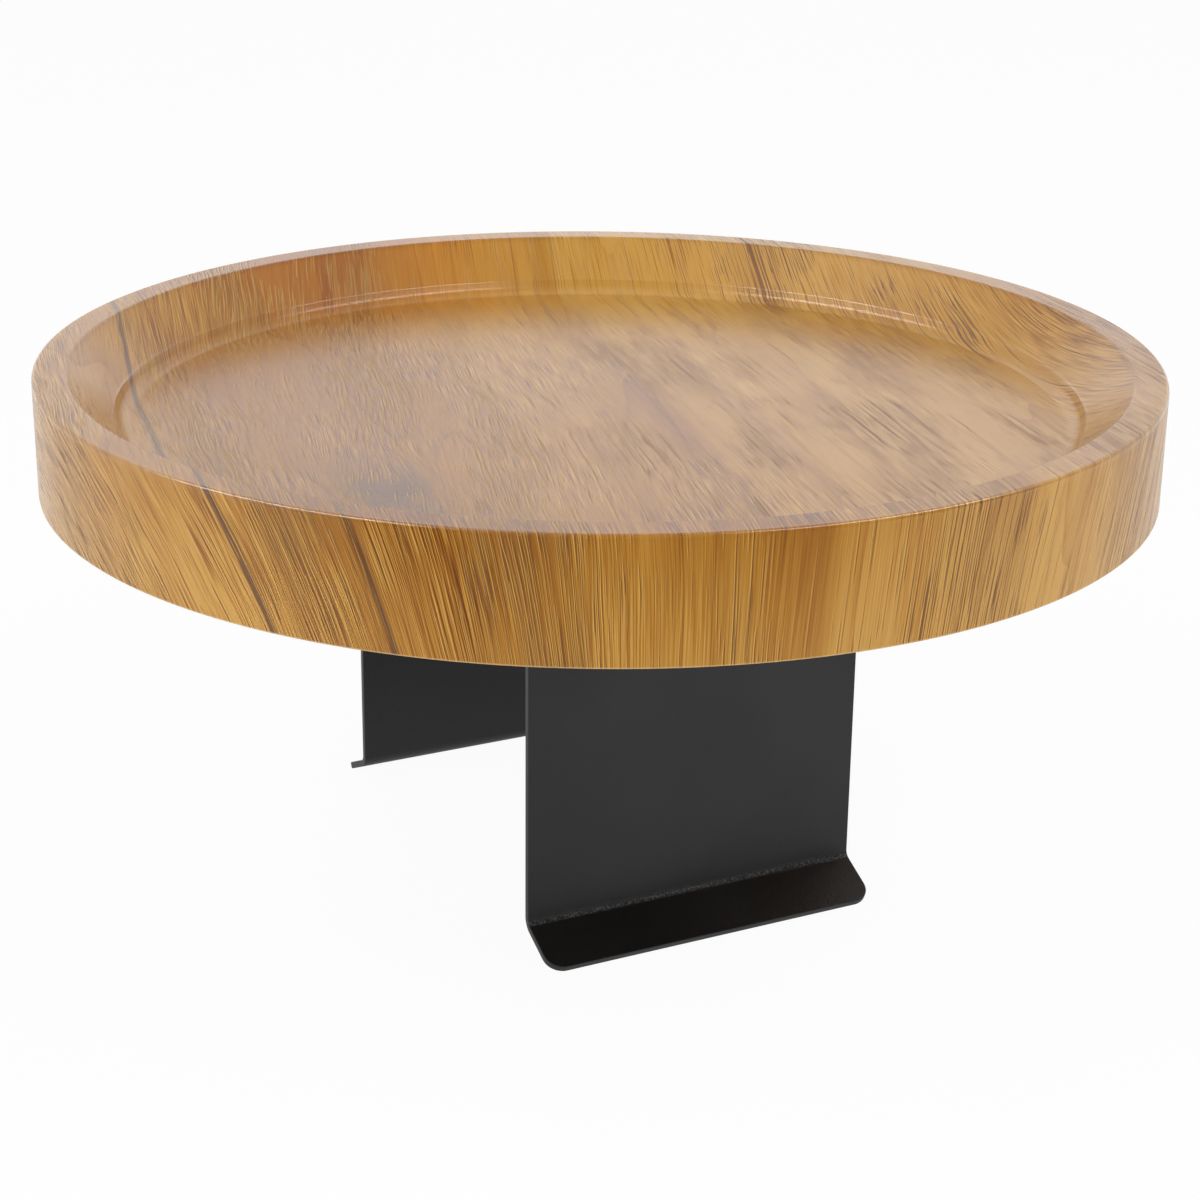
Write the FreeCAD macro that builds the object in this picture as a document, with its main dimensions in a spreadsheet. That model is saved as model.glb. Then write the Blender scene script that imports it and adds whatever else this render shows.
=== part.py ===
import FreeCAD, Part
import os

import Sketcher

# Sofa arm tray: a round film-wrapped tray on two sheet-steel brackets that grip the arm of a sofa.
# +Z is up. The origin lies under the middle of the tray, on the plane that the brackets' feet stand on.
# The sofa arm runs along X, and the brackets slide along Y to suit its width.

SIZES = {
    # Tray, measured over its film
    "tray_diameter": 300.0,
    "rim_width": 8.8,
    "wall_run": 11.7,
    "wall_drop": 11.2,
    "step_run": 2.2,
    "step_drop": 3.8,
    "floor_thickness": 16.2,
    "rim_outer_round": 1.0,
    "rim_inner_round": 1.4,
    "ledge_round": 1.0,
    "cove_round": 2.0,
    # Film, glue and backing sheet
    "film_thickness": 0.5,
    "glue_line": 0.05,
    "laminate_thickness": 0.3,
    # Bent brackets, at the narrowest setting
    "arm_gap": 112.0,
    "bracket_width": 97.0,
    "bracket_drop": 102.6,
    "sheet_thickness": 2.0,
    "bend_round": 2.0,
    "lip_run": 14.0,
    "lip_drop": 6.7,
    "lip_corner_round": 5.0,
    "flange_corner_round": 6.0,
    # Slots that the brackets slide on
    "slide_travel": 28.0,
    "bolt_pitch": 60.0,
    "slot_clearance": 0.3,
    "washer_bend_gap": 2.0,
    "washer_edge_margin": 4.0,
    # Button-head bolts
    "bolt_diameter": 6.0,
    "head_diameter": 10.5,
    "head_height": 3.3,
    "socket_width": 4.0,
    "socket_depth": 2.1,
    "tip_chamfer": 0.8,
    "tip_gap": 1.2,
    # Plain and split washers
    "washer_diameter": 12.0,
    "washer_thickness": 1.6,
    "washer_clearance": 0.2,
    "spring_width": 2.4,
    "spring_thickness": 1.6,
    "spring_split": 0.8,
    "spring_lean": 0.5,
    # Barbed threaded inserts
    "insert_diameter": 10.0,
    "insert_flange_diameter": 13.0,
    "insert_flange_thickness": 1.2,
    "insert_cover": 4.0,
    "barb_depth": 0.6,
    "thread_clearance": 0.05,
    "seat_clearance": 0.05,
    # Every cut reaches this far past what it cuts
    "overrun": 5.0,
}

# The dome of a bolt head takes up this share of the head's height
HEAD_ROUND_SHARE = 0.72
BARB_COUNT = 4

WORKED = {
    # Rings of the tray, from the side inwards
    "tray_radius": "Sizes.tray_diameter / 2",
    "rim_inner_radius": "tray_radius - Sizes.rim_width",
    "ledge_radius": "rim_inner_radius - Sizes.wall_run",
    "floor_radius": "ledge_radius - Sizes.step_run",
    # Slope of the brackets' feet
    "lip_length": "sqrt(Sizes.lip_run ^ 2 + Sizes.lip_drop ^ 2)",
    "lip_sine": "Sizes.lip_drop / lip_length",
    "lip_cosine": "Sizes.lip_run / lip_length",
    # Heights, from the feet upwards
    "lip_tip_z": "Sizes.sheet_thickness * lip_cosine",
    "lip_bend_z": "lip_tip_z + Sizes.lip_drop",
    "heel_z": "lip_bend_z - Sizes.sheet_thickness * (1 - lip_sine) / lip_cosine",
    "underside_z": "lip_bend_z + Sizes.bracket_drop",
    "floor_z": "underside_z + Sizes.floor_thickness",
    "ledge_z": "floor_z + Sizes.step_drop",
    "rim_z": "ledge_z + Sizes.wall_drop",
    # Brackets, outwards from the sofa arm
    "plate_inner_y": "Sizes.arm_gap / 2",
    "plate_outer_y": "plate_inner_y + Sizes.sheet_thickness",
    "lip_end_y": "plate_outer_y + Sizes.lip_run",
    "lip_sole_y": "lip_end_y - Sizes.sheet_thickness * lip_sine",
    "washer_radius": "Sizes.washer_diameter / 2",
    "slot_inner_y": "plate_outer_y + Sizes.bend_round + Sizes.washer_bend_gap + washer_radius",
    "bolt_y": "slot_inner_y + Sizes.slide_travel",
    "flange_end_y": "bolt_y + washer_radius + Sizes.washer_edge_margin",
    "half_width": "Sizes.bracket_width / 2",
    "bolt_x": "Sizes.bolt_pitch / 2",
    "bend_outer_round": "Sizes.bend_round + Sizes.sheet_thickness",
    # Stack under the tray, from the flange down to the bolt's head
    "flange_z": "underside_z - Sizes.sheet_thickness",
    "washer_z": "flange_z - Sizes.washer_thickness",
    "spring_z": "washer_z - Sizes.spring_thickness",
    "head_z": "spring_z - Sizes.head_height",
    # Bolts, washers and inserts
    "bolt_radius": "Sizes.bolt_diameter / 2",
    "head_radius": "Sizes.head_diameter / 2",
    "head_round": f"Sizes.head_height * {HEAD_ROUND_SHARE}",
    "socket_corner": "Sizes.socket_width / sqrt(3)",
    "slot_radius": "bolt_radius + Sizes.slot_clearance",
    "washer_hole_radius": "bolt_radius + Sizes.washer_clearance",
    "spring_radius": "washer_hole_radius + Sizes.spring_width",
    "insert_bore_radius": "bolt_radius + Sizes.thread_clearance",
    "insert_radius": "Sizes.insert_diameter / 2",
    "insert_root_radius": "insert_radius - Sizes.barb_depth",
    "insert_flange_radius": "Sizes.insert_flange_diameter / 2",
    "insert_length": "Sizes.floor_thickness - Sizes.insert_cover",
    "insert_shoulder_z": "underside_z + Sizes.insert_flange_thickness",
    "insert_top_z": "underside_z + insert_length",
    "barb_height": f"(insert_length - Sizes.insert_flange_thickness) / {BARB_COUNT}",
    "bolt_tip_z": "insert_top_z - Sizes.tip_gap",
}

# Where the four bolts stand: a name, and the signs of X and Y
BOLT_PLACES = {
    "front_left": (-1, -1),
    "front_right": (1, -1),
    "rear_left": (-1, 1),
    "rear_right": (1, 1),
}

# How a sketch numbers the points of a line or an arc, and its own origin
START, END, CENTRE = 1, 2, 3
SKETCH_ORIGIN = (-1, START)

doc = FreeCAD.newDocument("sofa_arm_tray")
sizes = doc.addObject("Spreadsheet::Sheet", "Sizes")
worked = doc.addObject("Spreadsheet::Sheet", "Worked")


def fill_sheet(sheet, cells):
    """Write one named cell to each row."""
    for row, (alias, text) in enumerate(cells.items(), start=1):
        sheet.set(f"A{row}", alias)
        sheet.set(f"B{row}", text)
        sheet.setAlias(f"B{row}", alias)
    doc.recompute()


def origin_plane(body, role):
    """One of a body's own origin planes."""
    planes = [feature for feature in body.Origin.OriginFeatures if feature.Role == role]
    return planes[0]


def add_sketch(body, name, role, height=None):
    """Empty sketch on an origin plane, raised along the plane's normal by a formula."""
    sketch = body.newObject("Sketcher::SketchObject", name)
    sketch.AttachmentSupport = [(origin_plane(body, role), "")]
    sketch.MapMode = "FlatFace"
    if height:
        sketch.setExpression("AttachmentOffset.Base.z", height)
    return sketch


def pin_point(sketch, geometry, position, name, across, up):
    """Hold one point of a sketch at two formulas, measured from the sketch's origin."""
    for axis, formula in (("DistanceX", across), ("DistanceY", up)):
        value = float(sketch.evalExpression(formula))
        index = sketch.addConstraint(Sketcher.Constraint(axis, *SKETCH_ORIGIN, geometry, position, value))
        sketch.renameConstraint(index, f"{name}_{axis}")
        sketch.setExpression(f"Constraints.{name}_{axis}", formula)


def draw_outline(sketch, corners):
    """Closed outline of straight lines through corners that are pairs of formulas."""
    points = []
    for across, up in corners:
        x = float(sketch.evalExpression(across))
        y = float(sketch.evalExpression(up))
        points.append(FreeCAD.Vector(x, y, 0))
    count = len(points)
    for index in range(count):
        sketch.addGeometry(Part.LineSegment(points[index], points[(index + 1) % count]))
    for index, (across, up) in enumerate(corners):
        sketch.addConstraint(Sketcher.Constraint("Coincident", index, END, (index + 1) % count, START))
        pin_point(sketch, index, START, f"corner{index}", across, up)


def draw_slot(sketch, across, start, end, radius):
    """Round-ended slot along the sketch's second axis, given by its two end centres."""
    x = float(sketch.evalExpression(across))
    low = float(sketch.evalExpression(start))
    high = float(sketch.evalExpression(end))
    reach = float(sketch.evalExpression(radius))
    near_side = FreeCAD.Vector(x + reach, low, 0)
    far_side = FreeCAD.Vector(x - reach, low, 0)
    rise = FreeCAD.Vector(0, high - low, 0)
    drop = FreeCAD.Vector(0, reach, 0)
    bottom = FreeCAD.Vector(x, low, 0)
    top = bottom + rise
    bottom_arc = sketch.addGeometry(Part.Arc(far_side, bottom - drop, near_side))
    near_line = sketch.addGeometry(Part.LineSegment(near_side, near_side + rise))
    top_arc = sketch.addGeometry(Part.Arc(near_side + rise, top + drop, far_side + rise))
    far_line = sketch.addGeometry(Part.LineSegment(far_side + rise, far_side))
    for line, line_point, arc, arc_point in (
        (near_line, START, bottom_arc, END),
        (near_line, END, top_arc, START),
        (far_line, START, top_arc, END),
        (far_line, END, bottom_arc, START),
    ):
        sketch.addConstraint(Sketcher.Constraint("Tangent", line, line_point, arc, arc_point))
    sketch.addConstraint(Sketcher.Constraint("Equal", bottom_arc, top_arc))
    index = sketch.addConstraint(Sketcher.Constraint("Radius", bottom_arc, reach))
    sketch.renameConstraint(index, "slot_radius")
    sketch.setExpression("Constraints.slot_radius", radius)
    pin_point(sketch, bottom_arc, CENTRE, "slot_start", across, start)
    index = sketch.addConstraint(Sketcher.Constraint("DistanceY", *SKETCH_ORIGIN, top_arc, CENTRE, high))
    sketch.renameConstraint(index, "slot_end")
    sketch.setExpression("Constraints.slot_end", end)


def revolve_body(label, corners):
    """Body turned about the Z axis from a half profile of radii and heights."""
    body = doc.addObject("PartDesign::Body", label)
    body.Label = label
    sketch = add_sketch(body, f"{label}_profile", "XZ_Plane")
    draw_outline(sketch, corners)
    turned = body.newObject("PartDesign::Revolution", f"{label}_turned")
    turned.Profile = sketch
    turned.ReferenceAxis = (sketch, ["V_Axis"])
    doc.recompute()
    return body


def pocket(body, sketch, name, length):
    """Cut along the sketch plane's own normal, which has to take material away."""
    before = body.Shape.Volume
    cut = body.newObject("PartDesign::Pocket", name)
    cut.Profile = sketch
    cut.Reversed = True
    cut.setExpression("Length", length)
    doc.recompute()
    if body.Shape.Volume >= before:
        raise ValueError(f"{name} removed nothing")
    return cut


def round_edges(body, name, radius, points):
    """Fillet the edges that pass through these points of the body."""
    base = body.Tip
    names = []
    for point in points:
        probe = Part.Vertex(FreeCAD.Vector(*point))
        distances = [edge.distToShape(probe)[0] for edge in base.Shape.Edges]
        names.append(f"Edge{distances.index(min(distances)) + 1}")
    fillet = body.newObject("PartDesign::Fillet", name)
    fillet.Base = (base, names)
    fillet.setExpression("Radius", radius)
    doc.recompute()


def place_at_bolt(body, signs):
    """Move a part that was made on the Z axis to one of the four bolts."""
    body.setExpression("Placement.Base.x", f"{signs[0]} * Worked.bolt_x")
    body.setExpression("Placement.Base.y", f"{signs[1]} * Worked.bolt_y")


def cylinder(name, radius, height, base):
    """Upright cylinder on the Z axis, given by formulas."""
    solid = doc.addObject("Part::Cylinder", name)
    solid.setExpression("Radius", radius)
    solid.setExpression("Height", height)
    solid.setExpression("Placement.Base.z", base)
    return solid


def boolean(kind, label, base, tool):
    """Cut or common of two shapes."""
    result = doc.addObject(kind, label)
    result.Label = label
    result.Base = base
    result.Tool = tool
    doc.recompute()
    return result


def make_tray_form():
    """Whole outer form of the tray: flat rim, sloping wall, small step and a level floor."""
    body = revolve_body("tray_form", [
        ("0", "Worked.underside_z"),
        ("Worked.tray_radius", "Worked.underside_z"),
        ("Worked.tray_radius", "Worked.rim_z"),
        ("Worked.rim_inner_radius", "Worked.rim_z"),
        ("Worked.ledge_radius", "Worked.ledge_z"),
        ("Worked.floor_radius", "Worked.floor_z"),
        ("0", "Worked.floor_z"),
    ])
    round_edges(body, "rim_outer", "Sizes.rim_outer_round", [(0, worked.tray_radius, worked.rim_z)])
    round_edges(body, "rim_inner", "Sizes.rim_inner_round", [(0, worked.rim_inner_radius, worked.rim_z)])
    round_edges(body, "ledge", "Sizes.ledge_round", [(0, worked.ledge_radius, worked.ledge_z)])
    round_edges(body, "cove", "Sizes.cove_round", [(0, worked.floor_radius, worked.floor_z)])
    return body


def make_skin(label, form, thickness):
    """Skin of even thickness inside the form, open at the form's underside."""
    faces = form.Shape.Faces
    lowest = min(range(len(faces)), key=lambda index: faces[index].CenterOfMass.z)
    skin = doc.addObject("Part::Thickness", label)
    skin.Label = label
    skin.Faces = (form, [f"Face{lowest + 1}"])
    skin.Mode = "Skin"
    skin.Join = "Intersection"
    skin.setExpression("Value", f"-({thickness})")
    doc.recompute()
    return skin


def make_insert_seats():
    """Stepped blind holes that the four inserts are pressed into."""
    holes = []
    for place, signs in BOLT_PLACES.items():
        for name, radius, top in (
            ("seat", "Worked.insert_radius", "Worked.insert_length + Sizes.seat_clearance"),
            ("seat_flange", "Worked.insert_flange_radius", "Sizes.insert_flange_thickness"),
        ):
            hole = cylinder(
                f"{name}_{place}",
                f"{radius} + Sizes.seat_clearance",
                f"{top} + Sizes.overrun",
                "Worked.underside_z - Sizes.overrun",
            )
            place_at_bolt(hole, signs)
            holes.append(hole)
    seats = doc.addObject("Part::MultiFuse", "insert_seats")
    seats.Shapes = holes
    doc.recompute()
    return seats


def make_tray():
    """Film, fibreboard core and backing sheet, which share one outer form."""
    form = make_tray_form()
    film = make_skin("tray_foil", form, "Sizes.film_thickness")
    film_and_glue = make_skin("film_and_glue", form, "Sizes.film_thickness + Sizes.glue_line")
    blank = boolean("Part::Cut", "blank", form, film_and_glue)
    seats = make_insert_seats()
    sheet_height = "Sizes.laminate_thickness + Sizes.overrun"
    sheet_base = "Worked.underside_z - Sizes.overrun"
    sheet_zone = cylinder("sheet_zone", "Worked.tray_radius", sheet_height, sheet_base)
    glue_zone = cylinder("glue_zone", "Worked.tray_radius", f"{sheet_height} + Sizes.glue_line", sheet_base)
    sheet_blank = boolean("Part::Common", "sheet_blank", blank, sheet_zone)
    core_blank = boolean("Part::Cut", "core_blank", blank, glue_zone)
    laminate = boolean("Part::Cut", "underside_laminate", sheet_blank, seats)
    core = boolean("Part::Cut", "tray_core", core_blank, seats)
    return [core, film, laminate]


def make_bracket(label, turn):
    """Bent steel bracket: slotted top flange, upright plate and a foot that flares outwards and down."""
    body = doc.addObject("PartDesign::Body", label)
    body.Label = label
    side = add_sketch(body, f"{label}_side", "YZ_Plane")
    draw_outline(side, [
        ("Worked.plate_inner_y", "Worked.underside_z"),
        ("Worked.flange_end_y", "Worked.underside_z"),
        ("Worked.flange_end_y", "Worked.flange_z"),
        ("Worked.plate_outer_y", "Worked.flange_z"),
        ("Worked.plate_outer_y", "Worked.lip_bend_z"),
        ("Worked.lip_end_y", "Worked.lip_tip_z"),
        ("Worked.lip_sole_y", "0"),
        ("Worked.plate_inner_y", "Worked.heel_z"),
    ])
    strip = body.newObject("PartDesign::Pad", f"{label}_strip")
    strip.Profile = side
    strip.SideType = "Symmetric"
    strip.setExpression("Length", "Sizes.bracket_width")
    doc.recompute()

    lip_y = (worked.lip_end_y + worked.lip_sole_y) / 2
    lip_z = worked.lip_tip_z / 2
    flange_middle_z = (worked.underside_z + worked.flange_z) / 2
    lip_corners = [(sign * worked.half_width, lip_y, lip_z) for sign in (-1, 1)]
    flange_corners = [(sign * worked.half_width, worked.flange_end_y, flange_middle_z) for sign in (-1, 1)]
    inner_bends = [(0, worked.plate_outer_y, worked.flange_z), (0, worked.plate_outer_y, worked.lip_bend_z)]
    outer_bends = [(0, worked.plate_inner_y, worked.underside_z), (0, worked.plate_inner_y, worked.heel_z)]
    round_edges(body, f"{label}_lip_corners", "Sizes.lip_corner_round", lip_corners)
    round_edges(body, f"{label}_flange_corners", "Sizes.flange_corner_round", flange_corners)
    round_edges(body, f"{label}_inner_bends", "Sizes.bend_round", inner_bends)
    round_edges(body, f"{label}_outer_bends", "Worked.bend_outer_round", outer_bends)

    slot_sketch = add_sketch(body, f"{label}_slot", "XY_Plane", "Worked.flange_z")
    draw_slot(slot_sketch, "Worked.bolt_x", "Worked.slot_inner_y", "Worked.bolt_y", "Worked.slot_radius")
    slot = pocket(body, slot_sketch, f"{label}_slot_cut", "Sizes.sheet_thickness + Sizes.overrun")
    pair = body.newObject("PartDesign::Mirrored", f"{label}_slot_pair")
    pair.Originals = [slot]
    pair.MirrorPlane = (origin_plane(body, "YZ_Plane"), [""])
    body.Tip = pair
    body.Placement = FreeCAD.Placement(FreeCAD.Vector(0, 0, 0), FreeCAD.Rotation(FreeCAD.Vector(0, 0, 1), turn))
    doc.recompute()
    return body


def make_insert(place, signs):
    """Barbed insert: a flange flush with the underside, a ribbed body and a threaded bore."""
    corners = [
        ("Worked.insert_bore_radius", "Worked.underside_z"),
        ("Worked.insert_flange_radius", "Worked.underside_z"),
        ("Worked.insert_flange_radius", "Worked.insert_shoulder_z"),
    ]
    for barb in range(BARB_COUNT):
        foot = f"Worked.insert_shoulder_z + Worked.barb_height * {barb}"
        corners.append(("Worked.insert_radius", foot))
        corners.append(("Worked.insert_root_radius", f"{foot} + Worked.barb_height"))
    corners.append(("Worked.insert_bore_radius", "Worked.insert_top_z"))
    body = revolve_body(f"insert_{place}", corners)
    place_at_bolt(body, signs)
    return body


def make_clamp_bolt(place, signs):
    """Button-head bolt that points up into its insert, with a hexagon socket in its domed head."""
    body = revolve_body(f"clamp_bolt_{place}", [
        ("0", "Worked.head_z"),
        ("Worked.head_radius", "Worked.head_z"),
        ("Worked.head_radius", "Worked.spring_z"),
        ("Worked.bolt_radius", "Worked.spring_z"),
        ("Worked.bolt_radius", "Worked.bolt_tip_z - Sizes.tip_chamfer"),
        ("Worked.bolt_radius - Sizes.tip_chamfer", "Worked.bolt_tip_z"),
        ("0", "Worked.bolt_tip_z"),
    ])
    round_edges(body, f"{body.Label}_dome", "Worked.head_round", [(0, worked.head_radius, worked.head_z)])
    hexagon = add_sketch(body, f"{body.Label}_hexagon", "XY_Plane", "Worked.head_z")
    draw_outline(hexagon, [
        ("Worked.socket_corner", "0"),
        ("Worked.socket_corner / 2", "Sizes.socket_width / 2"),
        ("-Worked.socket_corner / 2", "Sizes.socket_width / 2"),
        ("-Worked.socket_corner", "0"),
        ("-Worked.socket_corner / 2", "-Sizes.socket_width / 2"),
        ("Worked.socket_corner / 2", "-Sizes.socket_width / 2"),
    ])
    pocket(body, hexagon, f"{body.Label}_socket", "Sizes.socket_depth")
    place_at_bolt(body, signs)
    return body


def make_flat_washer(place, signs):
    """Plain washer that spans the slot under the flange."""
    body = revolve_body(f"flat_washer_{place}", [
        ("Worked.washer_hole_radius", "Worked.washer_z"),
        ("Worked.washer_radius", "Worked.washer_z"),
        ("Worked.washer_radius", "Worked.flange_z"),
        ("Worked.washer_hole_radius", "Worked.flange_z"),
    ])
    place_at_bolt(body, signs)
    return body


def make_spring_washer(place, signs):
    """Split washer, pressed flat between the plain washer and the bolt's head."""
    body = revolve_body(f"spring_washer_{place}", [
        ("Worked.washer_hole_radius", "Worked.spring_z"),
        ("Worked.spring_radius", "Worked.spring_z"),
        ("Worked.spring_radius", "Worked.washer_z"),
        ("Worked.washer_hole_radius", "Worked.washer_z"),
    ])
    split = add_sketch(body, f"{body.Label}_split", "YZ_Plane")
    draw_outline(split, [
        ("-Sizes.spring_lean - Sizes.spring_split / 2", "Worked.spring_z"),
        ("-Sizes.spring_lean + Sizes.spring_split / 2", "Worked.spring_z"),
        ("Sizes.spring_lean + Sizes.spring_split / 2", "Worked.washer_z"),
        ("Sizes.spring_lean - Sizes.spring_split / 2", "Worked.washer_z"),
    ])
    pocket(body, split, f"{body.Label}_split_cut", "Worked.spring_radius + Sizes.overrun")
    place_at_bolt(body, signs)
    return body


def check_and_write(parts):
    """Stop at anything that failed, then write each part to its own file."""
    for item in doc.Objects:
        if "Invalid" in item.State or "Error" in item.State:
            raise RuntimeError(f"{item.Label} failed: {item.State}")
    for part in parts:
        if part.Shape.isNull() or not part.Shape.isValid() or len(part.Shape.Solids) != 1:
            raise RuntimeError(f"{part.Label} isn't one valid solid")
    os.makedirs("parts", exist_ok=True)
    for part in parts:
        part.Shape.exportStep(f"parts/{part.Label}.step")
        print(f"{part.Label}: {part.Shape.Volume:.1f} cubic millimetres")


fill_sheet(sizes, {alias: str(value) for alias, value in SIZES.items()})
fill_sheet(worked, {alias: f"={formula}" for alias, formula in WORKED.items()})

subparts = make_tray()
subparts.append(make_bracket("bracket_front", 180))
subparts.append(make_bracket("bracket_rear", 0))
for bolt_place, bolt_signs in BOLT_PLACES.items():
    subparts.append(make_insert(bolt_place, bolt_signs))
    subparts.append(make_flat_washer(bolt_place, bolt_signs))
    subparts.append(make_spring_washer(bolt_place, bolt_signs))
    subparts.append(make_clamp_bolt(bolt_place, bolt_signs))
doc.recompute()
check_and_write(subparts)
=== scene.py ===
import math

import bmesh
import bpy
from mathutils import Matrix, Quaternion, Vector


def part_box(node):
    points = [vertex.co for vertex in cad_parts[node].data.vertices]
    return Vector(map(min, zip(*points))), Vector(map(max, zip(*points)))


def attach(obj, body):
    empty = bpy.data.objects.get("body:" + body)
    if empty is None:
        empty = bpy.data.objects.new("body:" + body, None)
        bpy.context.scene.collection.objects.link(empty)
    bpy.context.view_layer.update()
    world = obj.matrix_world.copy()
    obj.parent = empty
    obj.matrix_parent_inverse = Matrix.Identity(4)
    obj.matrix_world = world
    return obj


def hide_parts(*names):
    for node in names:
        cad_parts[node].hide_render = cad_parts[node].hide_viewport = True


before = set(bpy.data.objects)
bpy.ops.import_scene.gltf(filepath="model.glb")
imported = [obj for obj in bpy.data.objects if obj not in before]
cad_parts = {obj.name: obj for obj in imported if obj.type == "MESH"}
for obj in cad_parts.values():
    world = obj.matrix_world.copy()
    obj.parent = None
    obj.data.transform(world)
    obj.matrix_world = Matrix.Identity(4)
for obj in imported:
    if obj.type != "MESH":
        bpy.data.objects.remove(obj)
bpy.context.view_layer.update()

# Fibreboard blank: a disc of medium-density board, turned on a router to the tray's form.
# It carries everything else and is covered on all sides, so only its colour and fibres are made here.
BOARD_PALE = (0.42, 0.27, 0.15, 1)
BOARD_DARK = (0.25, 0.14, 0.07, 1)
BOARD_ROUGHNESS = 0.85
BOARD_FIBRE_NOISE = {"scale": (900, 900, 900), "detail": 4}
BOARD_FIBRE_HEIGHT = 0.0001


def new_material(name):
    """New node material, handed back with its tree and its Principled shader."""
    material = bpy.data.materials.new(name)
    material.use_nodes = True
    tree = material.node_tree
    return material, tree, tree.nodes["Principled BSDF"]


def add_node(tree, kind, inputs=None, **settings):
    """One shader node, with its settings, and a value or a link for each socket that is named."""
    node = tree.nodes.new(kind)
    for name, value in settings.items():
        setattr(node, name, value)
    for socket, value in (inputs or {}).items():
        if isinstance(value, bpy.types.NodeSocket):
            tree.links.new(value, node.inputs[socket])
        else:
            node.inputs[socket].default_value = value
    return node


def stretched_noise(tree, vector, scale, detail, shift=(0, 0, 0)):
    """Noise between 0 and 1, with cells one over the scale long, and flat where the third scale is 1."""
    mapped = add_node(tree, "ShaderNodeMapping", {"Vector": vector, "Scale": scale, "Location": shift})
    inputs = {"Vector": mapped.outputs[0], "Scale": 1, "Detail": detail}
    dimensions = "2D" if scale[2] == 1 else "3D"
    return add_node(tree, "ShaderNodeTexNoise", inputs, noise_dimensions=dimensions).outputs["Fac"]


def mix_colours(tree, factor, first, second, blend="MIX"):
    """Colour that goes from the first to the second, or to their blend, as the factor goes from 0 to 1."""
    # The Mix node's sockets share their names, so those for colours are told apart by number
    inputs = {0: factor, 6: first, 7: second}
    return add_node(tree, "ShaderNodeMix", inputs, data_type="RGBA", blend_type=blend).outputs[2]


def bump(tree, height, distance):
    """Normal of a surface whose height goes from 0 to 1 over a distance in metres."""
    return add_node(tree, "ShaderNodeBump", {"Height": height, "Distance": distance}).outputs[0]


def dress(node_name, material):
    """Give a CAD node one material."""
    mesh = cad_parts[node_name].data
    mesh.materials.clear()
    mesh.materials.append(material)


board, tree, shader = new_material("fibreboard")
place = add_node(tree, "ShaderNodeTexCoord").outputs["Object"]
fibres = stretched_noise(tree, place, **BOARD_FIBRE_NOISE)
tree.links.new(mix_colours(tree, fibres, BOARD_DARK, BOARD_PALE), shader.inputs["Base Color"])
tree.links.new(bump(tree, fibres, BOARD_FIBRE_HEIGHT), shader.inputs["Normal"])
shader.inputs["Roughness"].default_value = BOARD_ROUGHNESS
dress("tray_core", board)

# Backing sheet: a thin melamine sheet with a faint wood print, glued to the board's underside.
# It keeps the board flat and shows only from below, round the brackets' flanges.
# Its print is the same as the film's, so the printed figure is made here for both.
BACKING_TINT = (0.22, 0.12, 0.055, 1)
BACKING_TINT_SHARE = 0.55
BACKING_ROUGHNESS = 0.5
BACKING_PORE_HEIGHT = 0.00001


def calculate(tree, operation, *values):
    """One step of arithmetic on up to three values or links."""
    inputs = dict(enumerate(values))
    return add_node(tree, "ShaderNodeMath", inputs, operation=operation).outputs[0]


def centred_noise(tree, vector, **noise):
    """Stretched noise that swings about 0."""
    return calculate(tree, "SUBTRACT", stretched_noise(tree, vector, **noise), 0.5)


def remap(tree, value, low, high, bottom=0.0, top=1.0):
    """Smooth step of a value from bottom to top between two limits."""
    inputs = {"Value": value, "From Min": low, "From Max": high, "To Min": bottom, "To Max": top}
    return add_node(tree, "ShaderNodeMapRange", inputs, interpolation_type="SMOOTHSTEP").outputs[0]


def remap_line(tree, value, low, high):
    """Value that goes evenly from 0 to 1 between two limits."""
    inputs = {"Value": value, "From Min": low, "From Max": high}
    return add_node(tree, "ShaderNodeMapRange", inputs).outputs[0]


def colour_ramp(tree, factor, stops, interpolation="LINEAR"):
    """Colour picked by a factor from stops that are pairs of a position and a colour."""
    ramp = add_node(tree, "ShaderNodeValToRGB", {"Fac": factor})
    ramp.color_ramp.interpolation = interpolation
    elements = ramp.color_ramp.elements
    elements.remove(elements[1])
    elements[0].position, elements[0].color = stops[0]
    for position, colour in stops[1:]:
        elements.new(position).color = colour
    return ramp.outputs["Color"]


# Run of the grain. Places on the print are metres from its middle, across the grain or along it
GRAIN_LEAN = math.radians(10)
EXTRA_LEAN = 0.13
LEAN_LEFT = -0.12
LEAN_MOST = -0.045
LEAN_RIGHT = 0.06
KNOT_PLACE = (-0.0706, -0.0573)
KNOT_REACH = (0.009, 0.02)
KNOT_FADE = (0.2, 2.2)
KNOT_PARTING = 0.55
SLOW_SWAY = 0.007
SLOW_SWAY_NOISE = {"scale": (8, 4, 1), "detail": 1}
QUICK_SWAY_LEFT = 0.003
QUICK_SWAY_RIGHT = 0.001
QUICK_SWAY_ENDS = (-0.05, 0.03)
QUICK_SWAY_NOISE = {"scale": (38, 22, 1), "detail": 2}


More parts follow.
